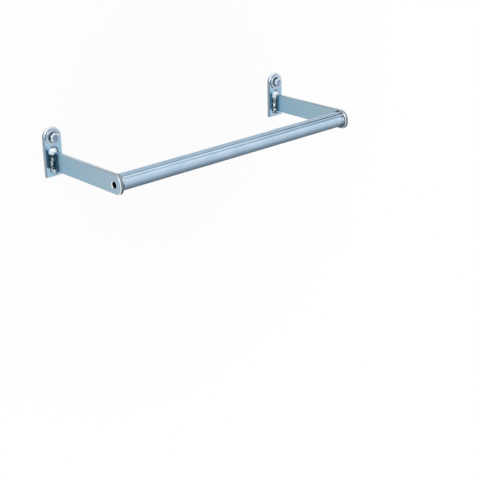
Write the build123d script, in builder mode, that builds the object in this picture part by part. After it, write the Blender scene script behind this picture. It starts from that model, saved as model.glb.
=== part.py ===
"""Wall-fixed standoff rail: two welded flat-bar brackets hold a round rail clear of a wall.

X runs along the rail, Z is up, and the wall face is Y = 0 with the rail standing off towards -Y.
The origin lies on the wall face, midway between the two wall screws. Millimetres.
"""

import os
from math import atan2, cos, degrees, radians, sin

from build123d import *

# Flat bar of the wall plates and arms
BAR_WIDTH = 30.0
BAR_THICKNESS = 6.0
BAR_EDGE_BREAK = 1.0  # chamfer left by breaking the edges

# Layout of the two brackets
RAIL_LENGTH = 450.0  # clear length between the arms
STANDOFF = 155.0  # wall face to rail axis
SCREW_TO_RAIL = 36.0  # rail axis below the wall screws
RAIL_TO_FOOT = 24.0  # square lower end of the plates below the rail axis
RAIL_TO_TIP = 16.0  # rounded outer end of the arms beyond the rail axis
TIP_UPPER_RADIUS = 15.0
TIP_LOWER_RADIUS = 11.0

# Rail tube, with a plating vent through each arm into its bore
RAIL_DIAMETER = 25.0
RAIL_WALL = 2.0
VENT_DIAMETER = 10.0
VENT_CHAMFER = 1.0
VENT_DROP = 1.5  # centre of the vent below the rail axis, so that the bore drains

# Weld beads
ROOT_BEAD_LEG = 5.0  # along both sides of an arm's root
ROOT_BEAD_LUMP = 1.5  # extra over the arm's upper and lower edges, where the runs turn
ROOT_BEAD_TAIL = 3.0  # length over which a lump runs out along the edge
RAIL_BEAD_REACH = 1.5  # on the arm, out from the tube, up to the broken edges
RAIL_BEAD_LENGTH = 3.5  # on the tube, out from the arm
BEAD_COURSES = 2  # facets from toe to toe
BEAD_FULLNESS = 1.45  # 1 is a flat face between the toes, 2 a quarter circle
BEAD_LIP = 0.3  # thickness of the bead where it runs out on the arm

# Hexagon-head wall screws: the rolled thread stands proud of the plain neck
SCREW_HOLE_DIAMETER = 9.0
NECK_DIAMETER = 7.4
THREAD_DIAMETER = 8.0
THREAD_LENGTH = 34.0
POINT_LENGTH = 8.0
POINT_DIAMETER = 1.0
HEAD_FLATS = 13.0
HEAD_HEIGHT = 5.5
HEAD_FACE_SHARE = 0.94  # flat face of the head, as a share of the width across flats
HEAD_CHAMFER_SLOPE = 0.5  # height over radius of the cone that trims the six corners
HEAD_TURN = {"left": 90.0, "right": 78.0}  # a corner's angle from +X as tightened

# Washers
WASHER_DIAMETER = 24.0
WASHER_HOLE_DIAMETER = 8.4
WASHER_THICKNESS = 2.0
WASHER_EDGE_BREAK = 0.5

# Positions that follow from the sizes above
RAIL_Y = -STANDOFF
RAIL_Z = -SCREW_TO_RAIL
RAIL_RADIUS = RAIL_DIAMETER / 2
BRACKET_X = (RAIL_LENGTH + BAR_THICKNESS) / 2
SCREW_SEAT = BAR_THICKNESS + WASHER_THICKNESS
SIDES = {"left": -1, "right": 1}

# Crown of a bead from its toe on one piece to its toe on the other, as shares of its legs
bead_angles = [radians(90 * course / BEAD_COURSES) for course in range(BEAD_COURSES + 1)]
bead_crown = [
    (sin(angle) ** (2 / BEAD_FULLNESS), abs(cos(angle)) ** (2 / BEAD_FULLNESS))
    for angle in bead_angles
]

os.makedirs("parts", exist_ok=True)

# Wall plates: round above the screw, square at the foot
for side, sign in SIDES.items():
    wall_face = Plane(origin=(sign * BRACKET_X, 0, 0), x_dir=(1, 0, 0), z_dir=(0, -1, 0))
    with BuildPart() as wall_plate:
        with BuildSketch(wall_face):
            Circle(BAR_WIDTH / 2)
            Rectangle(BAR_WIDTH, SCREW_TO_RAIL + RAIL_TO_FOOT, align=(Align.CENTER, Align.MAX))
            Circle(SCREW_HOLE_DIAMETER / 2, mode=Mode.SUBTRACT)
        extrude(amount=BAR_THICKNESS)
        broad_faces = wall_plate.faces().filter_by(Axis.Y)
        rims = [edge for face in broad_faces for edge in face.outer_wire().edges()]
        chamfer(rims, length=BAR_EDGE_BREAK)
    wall_plate.part.label = f"{side}_wall_plate"
    export_step(wall_plate.part, f"parts/{side}_wall_plate.step")

# Arms on edge and the weld runs round their roots
arm_length = STANDOFF + RAIL_TO_TIP - BAR_THICKNESS
root_steps = [
    (height * ROOT_BEAD_LEG, BEAD_LIP + reach * (ROOT_BEAD_LEG - BEAD_LIP))
    for height, reach in bead_crown
]
root_steps.append((ROOT_BEAD_LEG + ROOT_BEAD_TAIL, -ROOT_BEAD_LUMP))
for side, sign in SIDES.items():
    arm_middle = Plane.YZ.offset(sign * BRACKET_X)
    with BuildPart() as arm:
        with BuildSketch(arm_middle) as arm_side:
            with Locations((-BAR_THICKNESS, RAIL_Z)):
                Rectangle(arm_length, BAR_WIDTH, align=(Align.MAX, Align.CENTER))
            fillet(arm_side.vertices().group_by(Axis.X)[0].sort_by(Axis.Y)[0], TIP_LOWER_RADIUS)
            fillet(arm_side.vertices().group_by(Axis.X)[0].sort_by(Axis.Y)[-1], TIP_UPPER_RADIUS)
            with Locations((RAIL_Y, RAIL_Z - VENT_DROP)):
                Circle(VENT_DIAMETER / 2, mode=Mode.SUBTRACT)
        extrude(amount=BAR_THICKNESS / 2, both=True)
        vent_rims = arm.edges().filter_by(GeomType.CIRCLE).group_by(SortBy.RADIUS)[0]
        chamfer(vent_rims, length=VENT_CHAMFER)
        broad_faces = arm.faces().filter_by(Axis.X)
        rims = [edge for face in broad_faces for edge in face.outer_wire().edges()]
        root_edges = arm.faces().sort_by(Axis.Y)[-1].edges()
        chamfer([edge for edge in rims if edge not in root_edges], length=BAR_EDGE_BREAK)
    arm.part.label = f"{side}_arm"
    export_step(arm.part, f"parts/{side}_arm.step")

    arm_root = Plane(
        origin=(sign * BRACKET_X, -BAR_THICKNESS, RAIL_Z), x_dir=(1, 0, 0), z_dir=(0, -1, 0)
    )
    runs = {"inner": -sign, "outer": sign}
    for run, run_sign in runs.items():
        with BuildPart() as arm_weld:
            for (height, reach), (next_height, next_reach) in zip(root_steps, root_steps[1:]):
                with BuildSketch(arm_root.offset(height)):
                    RectangleRounded(
                        BAR_THICKNESS + 2 * reach,
                        BAR_WIDTH + 2 * (reach + ROOT_BEAD_LUMP),
                        BAR_THICKNESS / 2 + reach - BEAD_LIP,
                    )
                rise = next_height - height
                extrude(amount=rise, taper=degrees(atan2(reach - next_reach, rise)))
            add(arm.part, mode=Mode.SUBTRACT)
            split(bisect_by=arm_middle, keep=Keep.TOP if run_sign > 0 else Keep.BOTTOM)
        arm_weld.part.label = f"{side}_arm_weld_{run}"
        export_step(arm_weld.part, f"parts/{side}_arm_weld_{run}.step")

# Rail tube between the arms' inner faces
with BuildPart() as rail_tube:
    with BuildSketch(Plane.YZ):
        with Locations((RAIL_Y, RAIL_Z)):
            Circle(RAIL_RADIUS)
            Circle(RAIL_RADIUS - RAIL_WALL, mode=Mode.SUBTRACT)
    extrude(amount=RAIL_LENGTH / 2, both=True)
rail_tube.part.label = "rail_tube"
export_step(rail_tube.part, "parts/rail_tube.step")

# Weld rings that join the tube to the arms
rail_axis = Axis((0, RAIL_Y, RAIL_Z), (1, 0, 0))
for side, sign in SIDES.items():
    arm_inner_face = Plane(
        origin=(sign * RAIL_LENGTH / 2, RAIL_Y, RAIL_Z), x_dir=(-sign, 0, 0), z_dir=(0, sign, 0)
    )
    crown = [
        (RAIL_BEAD_LENGTH * height, RAIL_RADIUS + RAIL_BEAD_REACH * reach)
        for height, reach in bead_crown
    ]
    with BuildPart() as rail_weld:
        with BuildSketch(arm_inner_face):
            with BuildLine():
                Polyline((0, RAIL_RADIUS), *crown, close=True)
            make_face()
        revolve(axis=rail_axis)
    rail_weld.part.label = f"{side}_rail_weld"
    export_step(rail_weld.part, f"parts/{side}_rail_weld.step")

# Wall screws and their washers
for side, sign in SIDES.items():
    wall_face = Plane(origin=(sign * BRACKET_X, 0, 0), x_dir=(1, 0, 0), z_dir=(0, -1, 0))
    screw_axis = Axis((sign * BRACKET_X, 0, 0), (0, -1, 0))
    screw_section = Plane(origin=(sign * BRACKET_X, 0, 0), x_dir=(1, 0, 0), z_dir=(0, 0, 1))
    with BuildPart() as wall_screw:
        with BuildSketch(wall_face.offset(SCREW_SEAT)):
            RegularPolygon(HEAD_FLATS / 2, 6, major_radius=False, rotation=HEAD_TURN[side])
        extrude(amount=HEAD_HEIGHT)
        face_radius = HEAD_FACE_SHARE * HEAD_FLATS / 2
        trim_radius = HEAD_FLATS
        trim_drop = (trim_radius - face_radius) * HEAD_CHAMFER_SLOPE
        head_top = -SCREW_SEAT - HEAD_HEIGHT
        with BuildSketch(screw_section):
            with BuildLine():
                Polyline(
                    (0, -SCREW_SEAT),
                    (trim_radius, -SCREW_SEAT),
                    (trim_radius, head_top + trim_drop),
                    (face_radius, head_top),
                    (0, head_top),
                    close=True,
                )
            make_face()
        revolve(axis=screw_axis, mode=Mode.INTERSECT)
        with BuildSketch(screw_section):
            with BuildLine():
                Polyline(
                    (0, -SCREW_SEAT),
                    (NECK_DIAMETER / 2, -SCREW_SEAT),
                    (NECK_DIAMETER / 2, 0),
                    (THREAD_DIAMETER / 2, 0),
                    (THREAD_DIAMETER / 2, THREAD_LENGTH),
                    (POINT_DIAMETER / 2, THREAD_LENGTH + POINT_LENGTH),
                    (0, THREAD_LENGTH + POINT_LENGTH),
                    close=True,
                )
            make_face()
        revolve(axis=screw_axis)
    wall_screw.part.label = f"{side}_wall_screw"
    export_step(wall_screw.part, f"parts/{side}_wall_screw.step")

    with BuildPart() as washer:
        with BuildSketch(wall_face.offset(BAR_THICKNESS)):
            Circle(WASHER_DIAMETER / 2)
            Circle(WASHER_HOLE_DIAMETER / 2, mode=Mode.SUBTRACT)
        extrude(amount=WASHER_THICKNESS)
        front_rim = washer.faces().sort_by(Axis.Y)[0].outer_wire().edges()
        chamfer(front_rim, length=WASHER_EDGE_BREAK)
    washer.part.label = f"{side}_washer"
    export_step(washer.part, f"parts/{side}_washer.step")
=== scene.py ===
"""Looks of a wall-fixed standoff rail: plating, weld beads, wall screws, studio and camera.

Metres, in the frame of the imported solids: X along the rail, Z up, the wall face at Y = 0.
"""

from math import cos, pi, radians, sin

import bmesh
import bpy
from mathutils import Matrix, Vector


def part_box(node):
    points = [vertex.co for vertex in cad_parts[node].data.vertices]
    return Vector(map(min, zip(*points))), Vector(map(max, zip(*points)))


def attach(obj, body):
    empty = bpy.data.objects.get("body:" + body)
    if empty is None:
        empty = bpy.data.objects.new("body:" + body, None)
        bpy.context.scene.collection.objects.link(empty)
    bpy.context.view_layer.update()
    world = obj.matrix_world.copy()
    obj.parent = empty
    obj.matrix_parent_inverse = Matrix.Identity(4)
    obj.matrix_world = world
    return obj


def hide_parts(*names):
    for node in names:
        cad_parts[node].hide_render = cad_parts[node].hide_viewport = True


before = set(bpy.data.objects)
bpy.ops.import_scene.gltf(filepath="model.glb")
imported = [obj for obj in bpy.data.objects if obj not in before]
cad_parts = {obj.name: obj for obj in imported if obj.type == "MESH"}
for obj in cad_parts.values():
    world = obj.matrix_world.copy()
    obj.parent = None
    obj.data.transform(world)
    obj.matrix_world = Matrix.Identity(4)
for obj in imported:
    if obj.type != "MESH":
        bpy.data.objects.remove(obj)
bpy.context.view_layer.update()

MM = 0.001
SAME_POINT = 0.001 * MM  # points of a mesh that are closer than this are one
SIDES = ("left", "right")

# Sizes that the solids give
arm_low, arm_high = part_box("left_arm")
bead_low, bead_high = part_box("left_arm_weld_outer")
ring_low, ring_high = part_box("left_rail_weld")
tube_low, tube_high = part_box("rail_tube")
washer_low, washer_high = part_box("left_washer")
BAR_THICKNESS = arm_high.x - arm_low.x
BAR_WIDTH = arm_high.z - arm_low.z
ARM_ROOT_Y = arm_high.y
ARM_TIP_Y = arm_low.y
TUBE_RADIUS = (tube_high.z - tube_low.z) / 2
RAIL_Y = (tube_low.y + tube_high.y) / 2
RAIL_Z = (tube_low.z + tube_high.z) / 2
ROOT_LEG = bead_high.x - bead_low.x - BAR_THICKNESS / 2
RING_OUT_LEG = (ring_high.z - ring_low.z) / 2 - TUBE_RADIUS
RING_UP_LEG = ring_high.x - ring_low.x
SCREW_X = -(washer_low.x + washer_high.x) / 2  # to either side of the middle
WASHER_FRONT = washer_low.y

# Plating patterns
NOISE_LOW = 0.3  # most of a noise pattern lies between these two
NOISE_HIGH = 0.7

# Form of the weld beads
ROOT_CORNER_RADIUS = 2.4 * MM  # where a run turns over an arm's edge
ROOT_CORNER_POINTS = 8
RING_PATH_POINTS = 72
BEAD_SINK = 0.12  # share of the leg that lies inside the welded metal
BEAD_FULLNESS = 1.55  # 1 is a flat face between the toes, 2 a quarter circle
BEAD_SIDES = 36  # points round a bead's section
BEAD_CROWN = 0.45  # share of the section's radius over which the ripples rise from a toe
BEAD_WANDER = 0.14  # share by which a bead's width comes and goes
WANDER_RATE = 0.45  # times that it does so for each ripple
WANDER_NOISE = (0.25, 0.75)  # values of its noise pattern for the narrowest and the widest
END_LENGTH = 2.5 * MM  # smooth stretch at each end of a bead, where it meets the next
LUMP_SIZE = 4.5 * MM  # of the uneven metal between the ripples
RIPPLE_STEPS = 10  # rings of points to each ripple
RIPPLE_BOW = 0.55  # how far a ripple's ends lag behind its middle, in ripples
RIPPLE_DRIFT = 1.6  # how far the ripples stray from an even spacing, in ripples
DRIFT_RATE = 0.8  # times that they do so for each ripple
BEAD_SEEDS = {"outer": 3.0, "inner": 11.0, "ring": 47.0}  # of the left bracket
SEED_STEP = 20.0  # from the left bracket's beads to the right one's

# Painted highlights on the weld beads
SPECK_SIZE = 2.0 * MM  # of the bright specks
LUMP_GLINT = 0.5  # weight of the lumps and of the ripples, beside 1 for the specks
RIPPLE_GLINT = 0.7
GLINT_START = 0.5  # sum of all three and the bead's own glint where the painted highlight starts
GLINT_FULL = 1.3

# Wall screws: a coarse rolled thread behind the wall face, a hexagon head in front
THREAD_RADIUS = 4.0 * MM
CORE_RADIUS = 2.9 * MM
THREAD_PITCH = 3.6 * MM
THREAD_CREST = 0.3  # half width of the crest's base, as a share of the pitch
THREAD_CREST_TOP = 0.04  # half width of the crest's top
THREAD_RUN_IN = (0.2, 1.2)  # turns over which the thread rises behind the wall face
THREAD_AROUND = 40  # points round the thread
THREAD_STEPS = 14  # rings of points to each turn
THREAD_SEAM = 0.002 * MM  # gap within which the shank's points close
FIRST_RING = 0.0001  # share of the length that holds only the first ring
POINT_LENGTH = 8.0 * MM
NECK_RADIUS = 3.7 * MM
HEAD_FLATS = 13.0 * MM
HEAD_FACE_SHARE = 0.8  # flat face of the head, as a share of the width across flats
HEAD_CHAMFER_SLOPE = 0.5  # height over radius of the cone that trims the six corners
HEAD_SEAT_SHARE = 0.96  # low round face under the hexagon, as a share of the width across flats
HEAD_SEAT_HEIGHT = 0.5 * MM
HEAD_TURN = {"left": 90.0, "right": 78.0}  # a corner's angle from +X as tightened
HEAD_SIDE_POINTS = 10
HEAD_SHARP_ANGLE = radians(20)  # edges of a head that turn more than this stay crisp
SEAT_SHADE_LINE = 1.2 * MM  # height of the painted shade line round a head's seat
SEAT_SHADE = (8.3 * MM, 7.5 * MM)  # radii between which painted shade darkens a washer towards the head

# Camera, as fitted to the edges of the plates, arms and rail
CAMERA_LENS = 85.44
CAMERA_SENSOR = 36.0
CAMERA_AZIMUTH = radians(-42.322)
CAMERA_ELEVATION = radians(21.839)
CAMERA_ROLL = radians(-1.054)
CAMERA_DISTANCE = 2.0012
CAMERA_AIM = Vector((0.1441, 0.0, -0.2697))

# Backdrop
BACKDROP_SIDE = 3.2  # half length of the backdrop along the rail
BACKDROP_TOP = 0.62
BACKDROP_FRONT = -3.0
FLOOR_Z = -0.85
COVE_RADIUS = 0.3
COVE_STEPS = 12
WALL_INSET = 0.5 * MM  # the wall's face stands this far over the plates' backs
SHADOW_SHARE = 0.1  # how much of its own shading the backdrop shows close to the part
SHADOW_REACH = 0.55

# Light
ROOM_LEVEL = 0.7
KEY_PLACE = (-1.0, -1.0, 1.0)
KEY_AIM = (-0.1, -0.1, -0.03)
KEY_SIZE = (1.4, 0.6)
KEY_POWER = 3.2

# Cards for the metal to mirror
CARDS = {
    # A pale band low along the front of the tube
    "card_before_rail": {
        "corner": (-0.222, -0.18, -0.028),
        "along": (0.48, 0, 0),
        "across": (0, 0, -0.019),
        "shades": ("#F6F8FA", "#CDD3D7"),
        "soft": (0.02, 0.002),
    },
    # The darker underside of the tube
    "card_under_rail": {
        "corner": (-0.3, -0.80, -0.50),
        "along": (2.2, 0, 0),
        "across": (0, 0.797, 0),
        "shades": ("#C8CED2", "#707A81"),
        "soft": (0.1, 0.01),
    },
    "card_low_on_wall": {
        "corner": (-0.3, -0.003, -0.50),
        "along": (2.2, 0, 0),
        "across": (0, 0, 0.37),
        "shades": ("#707A81", "#757F86"),
        "soft": (0.1, 0.06),
    },
    # The upper of two fine lines along the tube, darker towards the right
    "card_over_rail": {
        "corner": (0.15, 0.05, 0.75),
        "along": (1.15, 0, 0),
        "across": (0, -0.34, 0),
        "shades": ("#9AA7B0", "#9AA7B0"),
        "soft": (0.1, 0.3),
    },
    "card_over_rail_end": {
        "corner": (0.58, -0.05, 0.74),
        "along": (0.90, 0, 0),
        "across": (0, -0.25, 0),
        "shades": ("#1E2C36", "#1E2C36"),
        "soft": (0.4, 0.25),
    },
    # The lower line, and a light shade round it towards the right
    "card_over_camera": {
        "corner": (0.1, -0.53, 0.55),
        "along": (1.2, 0, 0),
        "across": (0, -0.22, 0),
        "shades": ("#A3AEB6", "#A3AEB6"),
        "soft": (0.1, 0.35),
    },
    "card_over_right": {
        "corner": (0.5, -0.28, 0.56),
        "along": (1.0, 0, 0),
        "across": (0, -0.72, 0),
        "shades": ("#C2CED6", "#CAD6DE"),
        "soft": (0.3, 0.2),
    },
    # The grey rim along the top of the tube, and the arms' upper edges towards their tips
    "card_on_wall": {
        "corner": (-0.6, -0.003, 0.03),
        "along": (2.2, 0, 0),
        "across": (0, 0, 0.57),
        "shades": ("#BEC5CA", "#F2F4F5"),
        "soft": (0.1, 0.08),
    },
    # The dark corner between the left plate and its arm
    "card_below_camera": {
        "corner": (-0.678, -0.907, -0.75),
        "along": (-0.168, 0.107, 0),
        "across": (0, 0, 0.55),
        "shades": ("#082C2E", "#082C2E"),
        "soft": (0.16, 0.08),
    },
    # Light on the round top of the left plate, its washer and its screw
    "card_before_left_plate": {
        "corner": (-0.15, -0.10, -0.0235),
        "along": (-0.045, 0, 0),
        "across": (0, 0, 0.014),
        "shades": ("#FFFFFF", "#FFFFFF"),
        "soft": (0.1, 0.1),
    },
}


def linear(code):
    """An sRGB hex colour as linear RGBA."""
    parts = [int(code[i:i + 2], 16) / 255 for i in (1, 3, 5)]
    parts = [p / 12.92 if p <= 0.04045 else ((p + 0.055) / 1.055) ** 2.4 for p in parts]
    return (*parts, 1.0)


def add(tree, kind, sockets=None, **settings):
    """Adds a node, applies its settings, and gives its sockets values or links from other nodes.

    Sockets go by name or by number. In a map range, 0 is the value, 1 and 2 what it runs from,
    3 and 4 what it runs to. In a mix, 0 is the share, with 2 and 3 for numbers or 6 and 7 for
    colours.
    """
    made = tree.nodes.new(kind)
    for key, value in settings.items():
        setattr(made, key, value)
    for key, value in (sockets or {}).items():
        if isinstance(value, bpy.types.Node):
            value = value.outputs[0]
        if isinstance(value, bpy.types.NodeSocket):
            tree.links.new(value, made.inputs[key])
        else:
            made.inputs[key].default_value = value
    return made


def link_object(name, data):
    """Puts a new object with that data into the scene, at the origin."""
    made = bpy.data.objects.new(name, data)
    bpy.context.scene.collection.objects.link(made)
    return made


# Materials


def plated_metal(name):
    """An empty metal finish: the material, its tree and the place on the part."""
    material = bpy.data.materials.new(name)
    material.use_nodes = True
    tree = material.node_tree
    tree.nodes["Principled BSDF"].inputs["Metallic"].default_value = 1.0
    place = add(tree, "ShaderNodeTexCoord").outputs["Object"]
    return material, tree, place


def lay_tones(tree, tones, base, layers):
    """The base tone with others laid over it.

    A layer is a measure, the two values of it between which its tone comes in, the most that it
    covers, and the tone's name.
    """
    tint = linear(tones[base])
    for measure, (start, full), most, tone in layers:
        share = add(tree, "ShaderNodeMapRange", {0: measure, 1: start, 2: full, 3: 0.0, 4: most})
        sockets = {0: share, 6: tint, 7: linear(tones[tone])}
        tint = add(tree, "ShaderNodeMix", sockets, data_type="RGBA").outputs[2]
    return tint


def finish_plating(tree, tint, roughness, height, strength, depth):
    """Gives a finish its tint, its roughness and the relief of its pattern."""
    relief = add(tree, "ShaderNodeBump", {"Height": height, "Strength": strength, "Distance": depth})
    shader = tree.nodes["Principled BSDF"]
    tree.links.new(tint, shader.inputs["Base Color"])
    tree.links.new(roughness.outputs[0], shader.inputs["Roughness"])
    tree.links.new(relief.outputs[0], shader.inputs["Normal"])


def blue_zinc_flat_bar(
    name, broad_axis, length_axis, free_end, welded_end, painted_break_glint, gloss, tones
):
    """Zinc, electroplated on hot-rolled flat bar and passivated blue.

    A satin blue-grey mirror with faint clouds of violet and green from the passivation, and rolling
    lines along the bar. Towards the free end the face is paler, painted light. Near a weld it is a
    deeper teal, painted shade, and smoother. Edges have a roughness of their own and a darker tone,
    painted shade, and are pale where they face up, painted light. Their breaks carry a painted
    highlight at the lifts given for them.
    """
    material, tree, place = plated_metal(name)
    cloud_size = 26 * MM
    stain_size = 7 * MM
    line_width = 1.4 * MM  # real rolling lines are finer and wouldn't show
    line_length = 90 * MM
    line_depth = 0.015 * MM
    weld_roughness = 0.12
    edge_roughness = 0.3
    from_face_to_edge = (0.97, 0.85)  # how squarely the surface faces along the broad axis
    from_edge_to_break = (0.4, 0.6)

    clouds = add(tree, "ShaderNodeTexNoise", {"Vector": place, "Scale": 1 / cloud_size, "Detail": 1.5})
    stains = add(tree, "ShaderNodeTexNoise", {"Vector": place, "Scale": 1 / stain_size, "Detail": 2.0})
    along = add(tree, "ShaderNodeSeparateXYZ", {0: place}).outputs[length_axis]
    layers = [
        (clouds, (0.5, 0.72), 0.75, "violet"),
        (clouds, (0.5, 0.3), 0.75, "green"),
        (stains, (0.35, 0.7), 0.12, "stain"),
        # Painted light: the face turns paler towards the free end
        (along, free_end, 0.8, "end"),
    ]
    if welded_end:
        near_weld = add(
            tree,
            "ShaderNodeMapRange",
            {0: along, 1: welded_end[0], 2: welded_end[1], 3: 0.0, 4: 1.0},
            interpolation_type="SMOOTHSTEP",
        )
        # Painted shade: a deeper teal on the face towards the weld
        layers.append((near_weld, (0.0, 1.0), 0.55, "root_shade"))
    face_tint = lay_tones(tree, tones, "face", layers)

    normal = add(tree, "ShaderNodeNewGeometry").outputs["Normal"]
    lift = add(tree, "ShaderNodeSeparateXYZ", {0: normal}).outputs["Z"]
    facing = add(tree, "ShaderNodeVectorMath", {0: normal, 1: broad_axis}, operation="DOT_PRODUCT")
    facing = add(tree, "ShaderNodeMath", {0: facing.outputs["Value"]}, operation="ABSOLUTE")
    start, full = from_face_to_edge
    edge = add(tree, "ShaderNodeMapRange", {0: facing, 1: start, 2: full, 3: 0.0, 4: 1.0})
    start, full = from_edge_to_break
    broken = add(tree, "ShaderNodeMapRange", {0: facing, 1: start, 2: full, 3: 0.0, 4: 1.0})
    start, full = painted_break_glint
    painted_glint = add(tree, "ShaderNodeMapRange", {0: lift, 1: start, 2: full, 3: 0.0, 4: 1.0})
    painted_glint = add(tree, "ShaderNodeMath", {0: broken, 1: painted_glint}, operation="MULTIPLY")
    # Edge tones: side is painted shade, top is painted light where the edges face up, break is a
    # painted highlight
    edge_tint = lay_tones(tree, tones, "side", [
        (lift, (0.3, 1.0), 1.0, "top"),
        (painted_glint, (0.0, 1.0), 1.0, "break_glint"),
    ])
    tint = add(
        tree, "ShaderNodeMix", {0: edge, 6: face_tint, 7: edge_tint}, data_type="RGBA"
    ).outputs[2]

    stretch = [1 / line_width] * 3
    stretch[length_axis] = 1 / line_length
    lined = add(tree, "ShaderNodeMapping", {"Vector": place, "Scale": stretch})
    lines = add(tree, "ShaderNodeTexNoise", {"Vector": lined, "Scale": 1.0, "Detail": 3.0})
    shine = add(
        tree,
        "ShaderNodeMapRange",
        {0: lines, 1: NOISE_LOW, 2: NOISE_HIGH, 3: gloss[0], 4: gloss[1]},
    )
    if welded_end:
        shine = add(
            tree, "ShaderNodeMix", {0: near_weld, 2: shine, 3: weld_roughness}, data_type="FLOAT"
        )
    shine = add(tree, "ShaderNodeMix", {0: edge, 2: shine, 3: edge_roughness}, data_type="FLOAT")
    finish_plating(tree, tint, shine, lines, strength=0.25, depth=line_depth)
    return material


def bright_zinc_drawn_tube(gloss, tones):
    """Bright zinc, passivated pale blue, on drawn tube: a mirror with a faint haze and fine lines."""
    material, tree, place = plated_metal("bright_zinc_on_drawn_tube")
    line_width = 0.9 * MM  # real drawing lines are finer and wouldn't show
    line_length = 160 * MM
    line_depth = 0.012 * MM
    cloud_size = 40 * MM
    stretch = (1 / line_length, 1 / line_width, 1 / line_width)
    lined = add(tree, "ShaderNodeMapping", {"Vector": place, "Scale": stretch})
    lines = add(tree, "ShaderNodeTexNoise", {"Vector": lined, "Scale": 1.0, "Detail": 2.0})
    clouds = add(tree, "ShaderNodeTexNoise", {"Vector": place, "Scale": 1 / cloud_size, "Detail": 2.0})
    tint = lay_tones(tree, tones, "face", [(clouds, (0.35, 0.7), 1.0, "haze")])
    shine = add(
        tree,
        "ShaderNodeMapRange",
        {0: lines, 1: NOISE_LOW, 2: NOISE_HIGH, 3: gloss[0], 4: gloss[1]},
    )
    finish_plating(tree, tint, shine, lines, strength=0.3, depth=line_depth)
    return material


def zinc_weld_metal(gloss, tones):
    """Zinc over a rippled weld bead.

    Lumps, crests and specks take a painted highlight, while the hollows, and the whole bead down in
    the corner of the two bars, stay dark with painted shade, and rougher.
    """
    material, tree, place = plated_metal("zinc_over_weld_bead")
    grain_size = 0.8 * MM
    grain_depth = 0.05 * MM
    crest = add(tree, "ShaderNodeAttribute", attribute_name="crest").outputs["Fac"]
    # Painted highlights where the crest measure is high, painted shade elsewhere
    tint = lay_tones(tree, tones, "hollow_shade", [(crest, (0.0, 1.0), 1.0, "crest")])
    shine = add(tree, "ShaderNodeMapRange", {0: crest, 1: 0.0, 2: 1.0, 3: gloss[0], 4: gloss[1]})
    grain = add(tree, "ShaderNodeTexNoise", {"Vector": place, "Scale": 1 / grain_size, "Detail": 3.0})
    finish_plating(tree, tint, shine, grain, strength=0.4, depth=grain_depth)
    return material


def bright_zinc_fastener(name, gloss, tones):
    """Bright zinc on cold-headed screws and stamped washers: glossy, with small dull flecks.

    Trimmed cones are brighter than the flat faces, and so are the sides of a head: painted
    highlights. The rim of a washer is darker. Painted shade lies as a dark line on both a head and
    its washer, in the corner between them.
    """
    material, tree, place = plated_metal(name)
    fleck_size = 2.2 * MM
    fleck_depth = 0.02 * MM
    flecks = add(tree, "ShaderNodeTexNoise", {"Vector": place, "Scale": 1 / fleck_size, "Detail": 4.0})
    normal = add(tree, "ShaderNodeNewGeometry").outputs["Normal"]
    facing = add(tree, "ShaderNodeSeparateXYZ", {0: normal}).outputs["Y"]
    facing = add(tree, "ShaderNodeMath", {0: facing}, operation="ABSOLUTE")
    spot = add(tree, "ShaderNodeSeparateXYZ", {0: place}).outputs
    # Painted highlights on the cones and on the sides of a head; on a washer the side tone is a darker
    # rim
    layers = [
        (flecks, (0.4, 0.75), 1.0, "fleck"),
        (facing, (0.98, 0.94), 1.0, "cone"),
        (facing, (0.5, 0.2), 1.0, "side"),
    ]
    if "thread" in tones:
        neck_y = WASHER_FRONT / 2
        shank = add(tree, "ShaderNodeMath", {0: spot["Y"], 1: neck_y}, operation="GREATER_THAN")
        layers.append((shank, (0.0, 1.0), 1.0, "thread"))
    # Painted shade: a dark line round the head's seat
    if "seat" in tones:
        line_y = WASHER_FRONT - SEAT_SHADE_LINE / 2
        apart = add(tree, "ShaderNodeMath", {0: spot["Y"], 1: line_y}, operation="SUBTRACT")
        apart = add(tree, "ShaderNodeMath", {0: apart}, operation="ABSOLUTE")
        layers.append((apart, (SEAT_SHADE_LINE, SEAT_SHADE_LINE / 2), 1.0, "seat"))
    # Painted shade: the washer darkens towards the head
    if "corner" in tones:
        across = add(tree, "ShaderNodeMath", {0: spot["X"]}, operation="ABSOLUTE")
        across = add(tree, "ShaderNodeMath", {0: across, 1: SCREW_X}, operation="SUBTRACT")
        away = add(tree, "ShaderNodeCombineXYZ", {"X": across, "Z": spot["Z"]})
        away = add(tree, "ShaderNodeVectorMath", {0: away}, operation="LENGTH").outputs["Value"]
        layers.append((away, SEAT_SHADE, 1.0, "corner"))
    tint = lay_tones(tree, tones, "face", layers)
    shine = add(
        tree,
        "ShaderNodeMapRange",
        {0: flecks, 1: NOISE_LOW, 2: NOISE_HIGH, 3: gloss[0], 4: gloss[1]},
    )
    finish_plating(tree, tint, shine, flecks, strength=0.25, depth=fleck_depth)
    return material


# Pieces


def new_tree(name, inputs):
    """A geometry node tree with named inputs: the tree, its input node and its output node."""
    tree = bpy.data.node_groups.new(name, "GeometryNodeTree")
    tree.interface.new_socket("Geometry", in_out="INPUT", socket_type="NodeSocketGeometry")
    for label, kind in inputs.items():
        tree.interface.new_socket(label, in_out="INPUT", socket_type=kind)
    tree.interface.new_socket("Geometry", in_out="OUTPUT", socket_type="NodeSocketGeometry")
    return tree, tree.nodes.new("NodeGroupInput"), tree.nodes.new("NodeGroupOutput")


def grow(base, tree, values, name):
    """Runs a node tree on an object and keeps the result as a plain mesh piece."""
    modifier = base.modifiers.new(tree.name, "NODES")
    modifier.node_group = tree
    for item in tree.interface.items_tree:
        if item.in_out == "INPUT" and item.name in values:
            modifier[item.identifier] = values[item.name]
    depsgraph = bpy.context.evaluated_depsgraph_get()
    mesh = bpy.data.meshes.new_from_object(base.evaluated_get(depsgraph))
    bpy.data.objects.remove(base)
    mesh.name = name
    return link_object(name, mesh)


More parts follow.
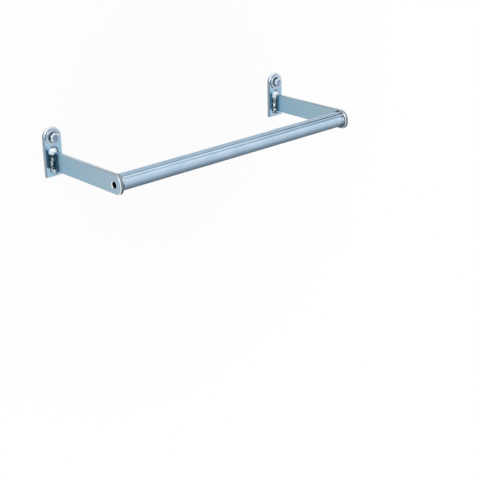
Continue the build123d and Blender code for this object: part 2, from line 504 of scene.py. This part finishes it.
def bead_section(tree, out_leg, up_leg):
    """A bead's section: a unit circle pressed into a crowned corner, sunk a little into both pieces.

    Its points keep how high they lie on the crown, and how far to either side of its middle.
    """
    section = add(tree, "GeometryNodeCurvePrimitiveCircle", {"Resolution": BEAD_SIDES, "Radius": 1.0})
    spot = add(tree, "ShaderNodeSeparateXYZ", {0: add(tree, "GeometryNodeInputPosition")})
    out = spot.outputs["X"]
    up = add(tree, "ShaderNodeMath", {0: spot.outputs["Y"], 1: -1.0}, operation="MULTIPLY")
    pressed = []
    for direction, leg, sign in ((out, out_leg, 1), (up, up_leg, -1)):
        proud = add(tree, "ShaderNodeMath", {0: direction, 1: 0.0}, operation="MAXIMUM")
        proud = add(tree, "ShaderNodeMath", {0: proud, 1: 2 / BEAD_FULLNESS}, operation="POWER")
        sunk = add(tree, "ShaderNodeMath", {0: direction, 1: 0.0}, operation="MINIMUM")
        total = add(
            tree, "ShaderNodeMath", {0: sunk, 1: BEAD_SINK, 2: proud}, operation="MULTIPLY_ADD"
        )
        total = add(tree, "ShaderNodeMath", {0: total, 1: sign}, operation="MULTIPLY")
        pressed.append(add(tree, "ShaderNodeMath", {0: total, 1: leg}, operation="MULTIPLY"))
    place = add(tree, "ShaderNodeCombineXYZ", {"X": pressed[0], "Y": pressed[1]})
    crown = add(tree, "ShaderNodeMath", {0: out, 1: up}, operation="MINIMUM")
    crown = add(tree, "ShaderNodeMapRange", {0: crown, 1: 0.0, 2: BEAD_CROWN, 3: 0.0, 4: 1.0})
    across = add(tree, "ShaderNodeMath", {0: out, 1: up}, operation="SUBTRACT")
    for label, value in (("crown", crown), ("across", across)):
        section = add(
            tree,
            "GeometryNodeStoreNamedAttribute",
            {"Geometry": section, "Name": label, "Value": value},
        )
    return add(tree, "GeometryNodeSetPosition", {"Geometry": section, "Position": place})


def bead_path(tree, inputs):
    """A bead's path with its measures along it, the bead's width, and how many ripples lie behind.

    The bead swells and takes a painted highlight where two runs meet over an edge, and wanders
    on the way.
    """
    pitch = inputs["Ripple pitch"]
    step = add(tree, "ShaderNodeMath", {0: pitch, 1: RIPPLE_STEPS}, operation="DIVIDE")
    path = add(
        tree,
        "GeometryNodeFilletCurve",
        {
            "Curve": inputs["Geometry"],
            "Radius": inputs["Corner radius"],
            "Count": ROOT_CORNER_POINTS,
            "Limit Radius": True,
        },
        mode="POLY",
    )
    path = add(tree, "GeometryNodeResampleCurve", {"Curve": path, "Length": step}, mode="LENGTH")
    path = add(tree, "GeometryNodeSetCurveNormal", {"Curve": path}, mode="Z_UP")

    # Swelling and painted highlight, by the distance from the nearer end
    spot = add(tree, "ShaderNodeSeparateXYZ", {0: add(tree, "GeometryNodeInputPosition")})
    above = add(tree, "ShaderNodeMath", {0: spot.outputs["Y"], 1: 0.0}, operation="GREATER_THAN")
    along = add(tree, "GeometryNodeSplineParameter").outputs["Length"]
    length = add(tree, "GeometryNodeSplineLength").outputs["Length"]
    left_over = add(tree, "ShaderNodeMath", {0: length, 1: along}, operation="SUBTRACT")
    from_end = add(tree, "ShaderNodeMath", {0: along, 1: left_over}, operation="MINIMUM")
    free = add(tree, "ShaderNodeMapRange", {0: from_end, 1: 0.0, 2: END_LENGTH, 3: 0.0, 4: 1.0})
    at_ends = []
    for trait in ("Lump", "Bright"):
        most = add(
            tree,
            "ShaderNodeMix",
            {0: above, 2: inputs[f"{trait} below"], 3: inputs[f"{trait} above"]},
            data_type="FLOAT",
        )
        at_ends.append(add(
            tree,
            "ShaderNodeMapRange",
            {0: from_end, 1: inputs[f"{trait} length"], 2: 0.0, 3: 0.0, 4: most},
            interpolation_type="SMOOTHSTEP",
        ))
    lump, painted_glint = at_ends
    swell = add(tree, "ShaderNodeMath", {0: lump, 1: 1.0}, operation="ADD")
    for label, value in (("along", along), ("painted_glint", painted_glint), ("free", free)):
        path = add(
            tree,
            "GeometryNodeStoreNamedAttribute",
            {"Geometry": path, "Name": label, "Value": value},
        )

    # Wandering width
    travel = add(tree, "GeometryNodeInputNamedAttribute", {"Name": "along"})
    turns = add(tree, "ShaderNodeMath", {0: travel, 1: pitch}, operation="DIVIDE")
    turns = add(tree, "ShaderNodeMath", {0: turns, 1: inputs["Seed"]}, operation="ADD")
    wander = add(
        tree,
        "ShaderNodeTexNoise",
        {"W": turns, "Scale": WANDER_RATE, "Detail": 1.0},
        noise_dimensions="1D",
    )
    narrow, wide = WANDER_NOISE
    wander = add(
        tree,
        "ShaderNodeMapRange",
        {0: wander, 1: narrow, 2: wide, 3: -BEAD_WANDER, 4: BEAD_WANDER},
    )
    width = add(tree, "ShaderNodeMath", {0: wander, 1: free, 2: swell}, operation="MULTIPLY_ADD")
    return path, width, turns


def bead_surface(tree, inputs, bead, turns):
    """A bead with its ripples and lumps raised, which also keeps where a highlight is painted on it.
    """
    # Ripples: round crescents with sharp valleys, bowed back at both toes
    lag = add(tree, "GeometryNodeInputNamedAttribute", {"Name": "across"})
    lag = add(tree, "ShaderNodeMath", {0: lag, 1: 2.0}, operation="POWER")
    drift = add(
        tree,
        "ShaderNodeTexNoise",
        {"W": turns, "Scale": DRIFT_RATE, "Detail": 0.0},
        noise_dimensions="1D",
    )
    phase = add(tree, "ShaderNodeMath", {0: lag, 1: RIPPLE_BOW, 2: turns}, operation="MULTIPLY_ADD")
    phase = add(
        tree, "ShaderNodeMath", {0: drift, 1: RIPPLE_DRIFT, 2: phase}, operation="MULTIPLY_ADD"
    )
    phase = add(tree, "ShaderNodeMath", {0: phase}, operation="FRACT")
    arch = add(tree, "ShaderNodeMath", {0: phase, 1: 2.0, 2: -1.0}, operation="MULTIPLY_ADD")
    arch = add(tree, "ShaderNodeMath", {0: arch, 1: 2.0}, operation="POWER")
    arch = add(tree, "ShaderNodeMath", {0: 1.0, 1: arch}, operation="SUBTRACT")
    crown = add(tree, "GeometryNodeInputNamedAttribute", {"Name": "crown"})
    free = add(tree, "GeometryNodeInputNamedAttribute", {"Name": "free"})
    shown = add(tree, "ShaderNodeMath", {0: crown, 1: free}, operation="MULTIPLY")
    ripples = add(tree, "ShaderNodeMath", {0: arch, 1: shown}, operation="MULTIPLY")

    # Lumps in the metal, and finer specks that only paint highlights
    patterns = []
    for size in (LUMP_SIZE, SPECK_SIZE):
        noise = add(
            tree,
            "ShaderNodeTexNoise",
            {"W": inputs["Seed"], "Scale": 1 / size, "Detail": 1.0},
            noise_dimensions="4D",
        )
        noise = add(
            tree, "ShaderNodeMapRange", {0: noise, 1: NOISE_LOW, 2: NOISE_HIGH, 3: -1.0, 4: 1.0}
        )
        patterns.append(add(tree, "ShaderNodeMath", {0: noise, 1: shown}, operation="MULTIPLY"))
    lumps, specks = patterns
    # crest: how much painted highlight the bead's tone takes, against painted shade in the hollows
    crest = add(
        tree, "ShaderNodeMath", {0: lumps, 1: LUMP_GLINT, 2: specks}, operation="MULTIPLY_ADD"
    )
    crest = add(
        tree, "ShaderNodeMath", {0: ripples, 1: RIPPLE_GLINT, 2: crest}, operation="MULTIPLY_ADD"
    )
    painted_glint = add(tree, "GeometryNodeInputNamedAttribute", {"Name": "painted_glint"})
    for extra in (painted_glint, inputs["Bright all over"]):
        crest = add(tree, "ShaderNodeMath", {0: crest, 1: extra}, operation="ADD")
    crest = add(
        tree, "ShaderNodeMapRange", {0: crest, 1: GLINT_START, 2: GLINT_FULL, 3: 0.0, 4: 1.0}
    )
    bead = add(
        tree, "GeometryNodeStoreNamedAttribute", {"Geometry": bead, "Name": "crest", "Value": crest}
    )
    lift = add(
        tree, "ShaderNodeMath", {0: ripples, 1: inputs["Ripple height"]}, operation="MULTIPLY"
    )
    lift = add(
        tree, "ShaderNodeMath", {0: lumps, 1: inputs["Unevenness"], 2: lift}, operation="MULTIPLY_ADD"
    )
    normal = add(tree, "GeometryNodeInputNormal")
    offset = add(tree, "ShaderNodeVectorMath", {0: normal, "Scale": lift}, operation="SCALE")
    bead = add(tree, "GeometryNodeSetPosition", {"Geometry": bead, "Offset": offset})
    return add(tree, "GeometryNodeSetShadeSmooth", {"Geometry": bead})


def weld_bead_tree():
    """A bead that follows a flat path: a crowned fillet section with the ripples of the weld pool.

    The path runs anticlockwise in XY. "Out leg" lies in that plane, outwards, and "Up leg" along Z.
    """
    tree, given, result = new_tree("weld_bead", {
        "Out leg": "NodeSocketFloat",
        "Up leg": "NodeSocketFloat",
        "Corner radius": "NodeSocketFloat",
        "Lump above": "NodeSocketFloat",
        "Lump below": "NodeSocketFloat",
        "Lump length": "NodeSocketFloat",
        "Bright length": "NodeSocketFloat",
        "Bright above": "NodeSocketFloat",
        "Bright below": "NodeSocketFloat",
        "Bright all over": "NodeSocketFloat",
        "Ripple pitch": "NodeSocketFloat",
        "Ripple height": "NodeSocketFloat",
        "Unevenness": "NodeSocketFloat",
        "Seed": "NodeSocketFloat",
        "Material": "NodeSocketMaterial",
    })
    inputs = given.outputs
    path, width, turns = bead_path(tree, inputs)
    section = bead_section(tree, inputs["Out leg"], inputs["Up leg"])
    bead = add(
        tree,
        "GeometryNodeCurveToMesh",
        {"Curve": path, "Profile Curve": section, "Scale": width, "Fill Caps": True},
    )
    bead = bead_surface(tree, inputs, bead, turns)
    bead = add(tree, "GeometryNodeRealizeInstances", {"Geometry": bead})
    bead = add(tree, "GeometryNodeSetMaterial", {"Geometry": bead, "Material": inputs["Material"]})
    tree.links.new(bead.outputs[0], result.inputs[0])
    return tree


def path_object(name, points, closed):
    """A path of straight stretches for a bead to follow."""
    curve = bpy.data.curves.new(name, "CURVE")
    curve.dimensions = "3D"
    spline = curve.splines.new("POLY")
    spline.points.add(len(points) - 1)
    for point, (x, y) in zip(spline.points, points):
        point.co = (x, y, 0.0, 1.0)
    spline.use_cyclic_u = closed
    return link_object(name, curve)


def finish_piece(piece, placing, node):
    """Sets a piece in its place, makes its faces point outwards and lets it stand for a node."""
    shape = bmesh.new()
    shape.from_mesh(piece.data)
    shape.transform(placing)
    bmesh.ops.remove_doubles(shape, verts=shape.verts, dist=SAME_POINT)
    bmesh.ops.recalc_face_normals(shape, faces=shape.faces)
    shape.to_mesh(piece.data)
    shape.free()
    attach(piece, "root")
    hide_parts(node)


def root_weld(tree, side, run, seed, material):
    """The weld run on one side of an arm's root, from the middle of its top to that of its foot."""
    node = f"{side}_arm_weld_{run}"
    low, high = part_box(f"{side}_arm")
    left_of_arm = (side == "left") == (run == "outer")
    half_thickness = BAR_THICKNESS / 2
    half_width = BAR_WIDTH / 2
    path = [
        (0.0, half_width),
        (-half_thickness, half_width),
        (-half_thickness, -half_width),
        (0.0, -half_width),
    ]
    if not left_of_arm:
        path = [(-x, -y) for x, y in path]
    base = path_object(node, path, closed=False)
    piece = grow(base, tree, {
        "Out leg": ROOT_LEG,
        "Up leg": ROOT_LEG,
        "Corner radius": ROOT_CORNER_RADIUS,
        "Lump above": 0.4,
        "Lump below": 0.2,
        "Lump length": (8.0 if left_of_arm else 5.0) * MM,
        # Painted highlights where the runs meet over the arm's edges, most over the top, and a trace
        # all over
        "Bright length": (9.0 if left_of_arm else 1.5) * MM,
        "Bright above": 2.4,
        "Bright below": 0.5 if side == "left" else 0.8,
        "Bright all over": 0.1 if side == "left" else 0.2,
        "Ripple pitch": 3.0 * MM,
        "Ripple height": 0.2 * MM,
        "Unevenness": 0.35 * MM,
        "Seed": seed,
        "Material": material,
    }, f"{side}_arm_{run}_weld_bead")
    foot = Vector(((low.x + high.x) / 2, high.y, (low.z + high.z) / 2))
    placing = Matrix.Translation(foot) @ Matrix.Rotation(pi / 2, 4, "X")
    finish_piece(piece, placing, node)


def rail_weld(tree, side, seed, material):
    """The weld ring where the tube meets an arm's inner face."""
    node = f"{side}_rail_weld"
    sign = -1 if side == "left" else 1
    angles = [2 * pi * i / RING_PATH_POINTS for i in range(RING_PATH_POINTS)]
    path = [(TUBE_RADIUS * cos(angle), TUBE_RADIUS * sin(angle)) for angle in angles]
    base = path_object(node, path, closed=True)
    piece = grow(base, tree, {
        "Out leg": RING_OUT_LEG,
        "Up leg": RING_UP_LEG,
        "Corner radius": 0.0,
        "Lump above": 0.0,
        "Lump below": 0.0,
        "Lump length": 1.0 * MM,
        "Bright length": 1.0 * MM,
        "Bright above": 0.0,
        "Bright below": 0.0,
        # A trace of painted highlight all over the ring
        "Bright all over": 0.3,
        "Ripple pitch": 2.4 * MM,
        "Ripple height": 0.25 * MM,
        "Unevenness": 0.12 * MM,
        "Seed": seed,
        "Material": material,
    }, f"{side}_rail_weld_ring")
    end = Vector((tube_low.x if sign < 0 else tube_high.x, RAIL_Y, RAIL_Z))
    placing = Matrix.Translation(end) @ Matrix.Rotation(-sign * pi / 2, 4, "Y")
    finish_piece(piece, placing, node)


def screw_thread_tree():
    """Adds a threaded shank with a sharp point to a screw head, along +Z from the origin."""
    tree, given, result = new_tree("screw_thread", {
        "Thread radius": "NodeSocketFloat",
        "Core radius": "NodeSocketFloat",
        "Pitch": "NodeSocketFloat",
        "Length": "NodeSocketFloat",
        "Point length": "NodeSocketFloat",
        "Rings": "NodeSocketInt",
        "Material": "NodeSocketMaterial",
    })
    inputs = given.outputs
    sheet = add(
        tree,
        "GeometryNodeMeshGrid",
        {
            "Size X": 1.0,
            "Size Y": 1.0,
            "Vertices X": THREAD_AROUND + 1,
            "Vertices Y": inputs["Rings"],
        },
    )
    spot = add(tree, "ShaderNodeSeparateXYZ", {0: add(tree, "GeometryNodeInputPosition")})
    turn = add(tree, "ShaderNodeMath", {0: spot.outputs["X"], 1: 0.5}, operation="ADD")
    share = add(tree, "ShaderNodeMath", {0: spot.outputs["Y"], 1: 0.5}, operation="ADD")
    depth = add(tree, "ShaderNodeMath", {0: share, 1: inputs["Length"]}, operation="MULTIPLY")

    # Crest of the thread along the helix, rising behind the wall face
    pitches = add(tree, "ShaderNodeMath", {0: depth, 1: inputs["Pitch"]}, operation="DIVIDE")
    phase = add(tree, "ShaderNodeMath", {0: pitches, 1: turn}, operation="SUBTRACT")
    phase = add(tree, "ShaderNodeMath", {0: phase}, operation="FRACT")
    crest = add(tree, "ShaderNodeMath", {0: phase, 1: 0.5}, operation="SUBTRACT")
    crest = add(tree, "ShaderNodeMath", {0: crest}, operation="ABSOLUTE")
    crest = add(
        tree, "ShaderNodeMapRange", {0: crest, 1: THREAD_CREST_TOP, 2: THREAD_CREST, 3: 1.0, 4: 0.0}
    )
    start, full = THREAD_RUN_IN
    risen = add(tree, "ShaderNodeMapRange", {0: pitches, 1: start, 2: full, 3: 0.0, 4: 1.0})
    crest = add(tree, "ShaderNodeMath", {0: crest, 1: risen}, operation="MULTIPLY")

    # Both radii close down along the point, and the first ring closes the shank
    left_over = add(tree, "ShaderNodeMath", {0: inputs["Length"], 1: depth}, operation="SUBTRACT")
    taper = add(tree, "ShaderNodeMath", {0: left_over, 1: inputs["Point length"]}, operation="DIVIDE")
    taper = add(tree, "ShaderNodeMath", {0: taper, 1: 1.0}, operation="MINIMUM")
    core = inputs["Core radius"]
    rise = add(tree, "ShaderNodeMath", {0: inputs["Thread radius"], 1: core}, operation="SUBTRACT")
    radius = add(tree, "ShaderNodeMath", {0: rise, 1: crest, 2: core}, operation="MULTIPLY_ADD")
    begun = add(tree, "ShaderNodeMath", {0: share, 1: FIRST_RING}, operation="GREATER_THAN")
    for limit in (taper, begun):
        radius = add(tree, "ShaderNodeMath", {0: radius, 1: limit}, operation="MULTIPLY")
    angle = add(tree, "ShaderNodeMath", {0: turn, 1: 2 * pi}, operation="MULTIPLY")
    wound = {"Z": depth}
    for axis, wave in (("X", "COSINE"), ("Y", "SINE")):
        way = add(tree, "ShaderNodeMath", {0: angle}, operation=wave)
        wound[axis] = add(tree, "ShaderNodeMath", {0: radius, 1: way}, operation="MULTIPLY")
    wound = add(tree, "ShaderNodeCombineXYZ", wound)
    shank = add(tree, "GeometryNodeSetPosition", {"Geometry": sheet, "Position": wound})
    shank = add(tree, "GeometryNodeMergeByDistance", {"Geometry": shank, "Distance": THREAD_SEAM})
    shank = add(tree, "GeometryNodeSetShadeSmooth", {"Geometry": shank})
    whole = add(tree, "GeometryNodeJoinGeometry")
    tree.links.new(shank.outputs[0], whole.inputs[0])
    tree.links.new(inputs["Geometry"], whole.inputs[0])
    whole = add(tree, "GeometryNodeRealizeInstances", {"Geometry": whole})
    whole = add(tree, "GeometryNodeSetMaterial", {"Geometry": whole, "Material": inputs["Material"]})
    tree.links.new(whole.outputs[0], result.inputs[0])
    return tree


def hexagon_radius(angle):
    """Distance from a hexagon's centre to its side, with a corner at angle 0 and flats 2 apart."""
    return 1 / cos((angle % (pi / 3)) - pi / 6)


def screw_head(name, seat, height, turn):
    """A hexagon head, trimmed by a cone, and the plain neck, along Z from the wall face."""
    shape = bmesh.new()
    flat = HEAD_FLATS / 2
    face_radius = HEAD_FACE_SHARE * flat
    top = -seat - height
    count = 6 * HEAD_SIDE_POINTS
    angles = [2 * pi * i / count for i in range(count)]

    def ring(radius_at, level_at):
        return [
            shape.verts.new((radius_at(a) * cos(a + turn), radius_at(a) * sin(a + turn), level_at(a)))
            for a in angles
        ]

    def skin(lower, upper):
        for i in range(count):
            j = (i + 1) % count
            shape.faces.new((lower[i], lower[j], upper[j], upper[i]))

    def side(a):
        return flat * hexagon_radius(a)

    rings = [
        ring(lambda a: NECK_RADIUS, lambda a: 0.0),
        ring(lambda a: NECK_RADIUS, lambda a: -seat),
        ring(lambda a: HEAD_SEAT_SHARE * flat, lambda a: -seat),
        ring(lambda a: HEAD_SEAT_SHARE * flat, lambda a: -seat - HEAD_SEAT_HEIGHT),
        ring(side, lambda a: -seat - HEAD_SEAT_HEIGHT),
        ring(side, lambda a: top + (side(a) - face_radius) * HEAD_CHAMFER_SLOPE),
        ring(lambda a: face_radius, lambda a: top),
    ]
    for lower, upper in zip(rings, rings[1:]):
        skin(lower, upper)
    shape.faces.new(rings[-1])
    shape.faces.new(rings[0][::-1])
    bmesh.ops.recalc_face_normals(shape, faces=shape.faces)
    mesh = bpy.data.meshes.new(name)
    shape.to_mesh(mesh)
    shape.free()
    mesh.shade_smooth()
    mesh.set_sharp_from_angle(angle=HEAD_SHARP_ANGLE)
    return link_object(name, mesh)


def wall_screw(tree, side, material):
    """A hexagon-head wall screw with its real thread."""
    node = f"{side}_wall_screw"
    low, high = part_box(node)
    plate_low, plate_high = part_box(f"{side}_wall_plate")
    washer_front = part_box(f"{side}_washer")[0].y
    length = high.y
    head = screw_head(node, -washer_front, washer_front - low.y, -radians(HEAD_TURN[side]))
    piece = grow(head, tree, {
        "Thread radius": THREAD_RADIUS,
        "Core radius": CORE_RADIUS,
        "Pitch": THREAD_PITCH,
        "Length": length,
        "Point length": POINT_LENGTH,
        "Rings": int(length / THREAD_PITCH * THREAD_STEPS),
        "Material": material,
    }, f"{side}_hexagon_wall_screw")
    axis = Vector(((plate_low.x + plate_high.x) / 2, 0.0, (low.z + high.z) / 2))
    placing = Matrix.Translation(axis) @ Matrix.Rotation(-pi / 2, 4, "X")
    finish_piece(piece, placing, node)


arm_finish = blue_zinc_flat_bar(
    "blue_zinc_on_flat_bar_arms",
    broad_axis=(1, 0, 0),
    length_axis=1,
    free_end=(-40 * MM, ARM_TIP_Y),
    welded_end=(ARM_ROOT_Y - 21 * MM, ARM_ROOT_Y - 5 * MM),
    # Painted highlights on the edge breaks
    painted_break_glint=(0.7, 0.45),  # all but those of the straight upper edge
    gloss=(0.24, 0.31),
    tones={
        "face": "#8CAEC2",
        "violet": "#97AFC7",
        "green": "#90B4BE",
        "stain": "#7F9DB0",
        # Painted from here on: light towards the tip, shade near the weld, shade on the edges, light
        # where they face up, highlights on their breaks
        "end": "#A6BAC7",
        "root_shade": "#1C819C",
        "side": "#6F8088",
        "top": "#C3D0D8",
        "break_glint": "#E8EEF2",
    },
)
plate_finish = blue_zinc_flat_bar(
    "blue_zinc_on_flat_bar_plates",
    broad_axis=(0, 1, 0),
    length_axis=2,
    free_end=(-12 * MM, 10 * MM),
    welded_end=None,
    # Painted highlights on the edge breaks
    painted_break_glint=(0.02, 0.22),  # those of the round top
    gloss=(0.1, 0.15),
    tones={
        "face": "#9BC1D9",
        "violet": "#ABC3DE",
        "green": "#9EC1D4",
        "stain": "#8DAFC4",
        # Painted from here on: light over the top, shade on the edges, light where they face up,
        # highlights on the breaks of the round top
        "end": "#D5DEEA",
        "side": "#8B9DAA",
        "top": "#EDF2F5",
        "break_glint": "#F0F4F7",
    },
)
tube_finish = bright_zinc_drawn_tube(
    gloss=(0.09, 0.16), tones={"face": "#C9DDF0", "haze": "#BBD3E6"}
)
weld_finish = zinc_weld_metal(
    gloss=(0.3, 0.13), tones={"hollow_shade": "#1F3A48", "crest": "#DFEAF2"}
)
screw_finish = bright_zinc_fastener(
    "bright_zinc_on_screws",
    gloss=(0.16, 0.28),
    tones={
        "face": "#93A8BF",
        "fleck": "#8196AD",
        # Painted highlights on the cone and the sides of the head
        "cone": "#F2F7FB",
        "side": "#E4EDF4",
        "thread": "#8FA0AE",
        # Painted shade round the head's seat
        "seat": "#101C26",
    },
)
washer_finish = bright_zinc_fastener(
    "bright_zinc_on_washers",
    gloss=(0.16, 0.28),
    tones={
        "face": "#BBCAD9",
        "fleck": "#A6B8CA",
        # Painted highlight on the cone; the side tone is a darker rim
        "cone": "#DCE6EE",
        "side": "#7F919E",
        # Painted shade on the washer round the head
        "corner": "#101C26",
    },
)

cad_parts["rail_tube"].material_slots[0].material = tube_finish
bead_tree = weld_bead_tree()
thread_tree = screw_thread_tree()
for number, side in enumerate(SIDES):
    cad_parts[f"{side}_wall_plate"].material_slots[0].material = plate_finish
    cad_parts[f"{side}_arm"].material_slots[0].material = arm_finish
    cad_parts[f"{side}_washer"].material_slots[0].material = washer_finish
    for run in ("outer", "inner"):
        root_weld(bead_tree, side, run, BEAD_SEEDS[run] + SEED_STEP * number, weld_finish)
    rail_weld(bead_tree, side, BEAD_SEEDS["ring"] + SEED_STEP * number, weld_finish)
    wall_screw(thread_tree, side, screw_finish)


# Studio


def seen_white(tree):
    """1 for rays that show the background to the eye: straight, in a mirror or through glass."""
    path = add(tree, "ShaderNodeLightPath").outputs
    shown = path["Is Camera Ray"]
    for ray in ("Is Glossy Ray", "Is Transmission Ray"):
        shown = add(tree, "ShaderNodeMath", {0: shown, 1: path[ray]}, operation="MAXIMUM")
    return shown


def white_backdrop():
    """White paper: pure white to the eye, with a trace of the part's shadow, and open from behind."""
    material = bpy.data.materials.new("white_paper_backdrop")
    material.use_nodes = True
    tree = material.node_tree
    tree.nodes.clear()
    place = add(tree, "ShaderNodeTexCoord").outputs["Object"]
    distance = add(tree, "ShaderNodeVectorMath", {0: place}, operation="LENGTH").outputs["Value"]
    keep = add(
        tree,
        "ShaderNodeMapRange",
        {0: distance, 1: 0.0, 2: SHADOW_REACH, 3: 1 - SHADOW_SHARE, 4: 1.0},
    )
    white = add(tree, "ShaderNodeMath", {0: keep, 1: seen_white(tree)}, operation="MULTIPLY")
    paper = add(tree, "ShaderNodeBsdfDiffuse", {"Color": linear("#F4F4F4")})
    glow = add(tree, "ShaderNodeEmission", {"Color": linear("#FFFFFF"), "Strength": 1.0})
    front = add(tree, "ShaderNodeMixShader", {0: white, 1: paper, 2: glow})
    behind = add(tree, "ShaderNodeNewGeometry").outputs["Backfacing"]
    clear = add(tree, "ShaderNodeBsdfTransparent")
    open_back = add(tree, "ShaderNodeMixShader", {0: behind, 1: front, 2: clear})
    add(tree, "ShaderNodeOutputMaterial", {"Surface": open_back})
    return material


def backdrop():
    """One sheet of paper: the wall behind the part, a cove, and the floor."""
    wall_y = -WALL_INSET
    line = [(wall_y, BACKDROP_TOP)]
    for i in range(COVE_STEPS + 1):
        angle = pi / 2 * i / COVE_STEPS
        line.append((
            wall_y - COVE_RADIUS * (1 - cos(angle)),
            FLOOR_Z + COVE_RADIUS * (1 - sin(angle)),
        ))
    line.append((BACKDROP_FRONT, FLOOR_Z))
    shape = bmesh.new()
    rows = [[shape.verts.new((x, y, z)) for y, z in line] for x in (-BACKDROP_SIDE, BACKDROP_SIDE)]
    for i in range(len(line) - 1):
        shape.faces.new((rows[0][i], rows[0][i + 1], rows[1][i + 1], rows[1][i]))
    mesh = bpy.data.meshes.new("backdrop")
    shape.to_mesh(mesh)
    shape.free()
    mesh.materials.append(white_backdrop())
    made = link_object("backdrop", mesh)


def mirror_card(name, corner, along, across, shades, soft):
    """A card that only mirrors see, from its front, where its two edges turn anticlockwise.

    It spans the edges along and across from a corner. Its shade runs from the first to the second
    across it, and it fades out over the soft shares of its length and width.
    """
    material = bpy.data.materials.new(name)
    material.use_nodes = True
    tree = material.node_tree
    tree.nodes.clear()
    on_card = add(tree, "ShaderNodeTexCoord").outputs["UV"]
    spot = add(tree, "ShaderNodeSeparateXYZ", {0: on_card}).outputs
    behind = add(tree, "ShaderNodeNewGeometry").outputs["Backfacing"]
    cover = add(tree, "ShaderNodeMath", {0: 1.0, 1: behind}, operation="SUBTRACT")
    for direction, margin in zip(("X", "Y"), soft):
        out = add(tree, "ShaderNodeMath", {0: spot[direction], 1: 0.5}, operation="SUBTRACT")
        out = add(tree, "ShaderNodeMath", {0: out}, operation="ABSOLUTE")
        inside = add(
            tree,
            "ShaderNodeMapRange",
            {0: out, 1: 0.5, 2: 0.5 - margin, 3: 0.0, 4: 1.0},
            interpolation_type="SMOOTHSTEP",
        )
        cover = add(tree, "ShaderNodeMath", {0: inside, 1: cover}, operation="MULTIPLY")
    near, far = (linear(shade) for shade in shades)
    shade = add(tree, "ShaderNodeMix", {0: spot["Y"], 6: near, 7: far}, data_type="RGBA").outputs[2]
    board = add(tree, "ShaderNodeEmission", {"Color": shade, "Strength": 1.0})
    clear = add(tree, "ShaderNodeBsdfTransparent")
    card = add(tree, "ShaderNodeMixShader", {0: cover, 1: clear, 2: board})
    add(tree, "ShaderNodeOutputMaterial", {"Surface": card})

    mesh = bpy.data.meshes.new(name)
    corners = [(0, 0), (1, 0), (1, 1), (0, 1)]
    spots = [Vector(corner) + u * Vector(along) + v * Vector(across) for u, v in corners]
    mesh.from_pydata(spots, [], [(0, 1, 2, 3)])
    chart = mesh.uv_layers.new(name="card")
    for loop, place in zip(chart.data, corners):
        loop.uv = place
    mesh.materials.append(material)
    made = link_object(name, mesh)
    made.visible_camera = False
    made.visible_diffuse = False
    made.visible_shadow = False
    made.visible_transmission = False


def softbox(name, place, aim, size, power):
    """A large soft lamp that faces a point."""
    lamp = bpy.data.lights.new(name, "AREA")
    lamp.shape = "RECTANGLE"
    lamp.size, lamp.size_y = size
    lamp.energy = power
    made = link_object(name, lamp)
    made.visible_camera = False
    facing = (Vector(aim) - Vector(place)).to_track_quat("-Z", "Y")
    made.matrix_world = Matrix.Translation(Vector(place)) @ facing.to_matrix().to_4x4()


def studio_world():
    """White all round to the eye and in mirrors, and a plain even level as light."""
    world = bpy.data.worlds.new("studio")
    bpy.context.scene.world = world
    world.use_nodes = True
    tree = world.node_tree
    tree.nodes.clear()
    even = add(tree, "ShaderNodeBackground", {"Color": linear("#FFFFFF"), "Strength": ROOM_LEVEL})
    white = add(tree, "ShaderNodeBackground", {"Color": linear("#FFFFFF"), "Strength": 1.0})
    mixed = add(tree, "ShaderNodeMixShader", {0: seen_white(tree), 1: even, 2: white})
    add(tree, "ShaderNodeOutputWorld", {"Surface": mixed})


def photo_camera():
    """The camera at the viewing angle of the photograph."""
    lens = bpy.data.cameras.new("camera")
    lens.lens = CAMERA_LENS
    lens.sensor_width = CAMERA_SENSOR
    made = link_object("camera", lens)
    back = Vector((
        sin(CAMERA_AZIMUTH) * cos(CAMERA_ELEVATION),
        -cos(CAMERA_AZIMUTH) * cos(CAMERA_ELEVATION),
        sin(CAMERA_ELEVATION),
    ))
    level = Vector((0, 0, 1)).cross(back).normalized()
    upright = back.cross(level)
    right = cos(CAMERA_ROLL) * level + sin(CAMERA_ROLL) * upright
    up = cos(CAMERA_ROLL) * upright - sin(CAMERA_ROLL) * level
    place = CAMERA_AIM + CAMERA_DISTANCE * back
    made.matrix_world = Matrix.Translation(place) @ Matrix((right, up, back)).transposed().to_4x4()
    bpy.context.scene.camera = made


studio_world()
backdrop()
for name, card in CARDS.items():
    mirror_card(name, **card)
softbox("key_softbox", KEY_PLACE, KEY_AIM, KEY_SIZE, KEY_POWER)
photo_camera()

bpy.context.scene.view_settings.view_transform = "Standard"
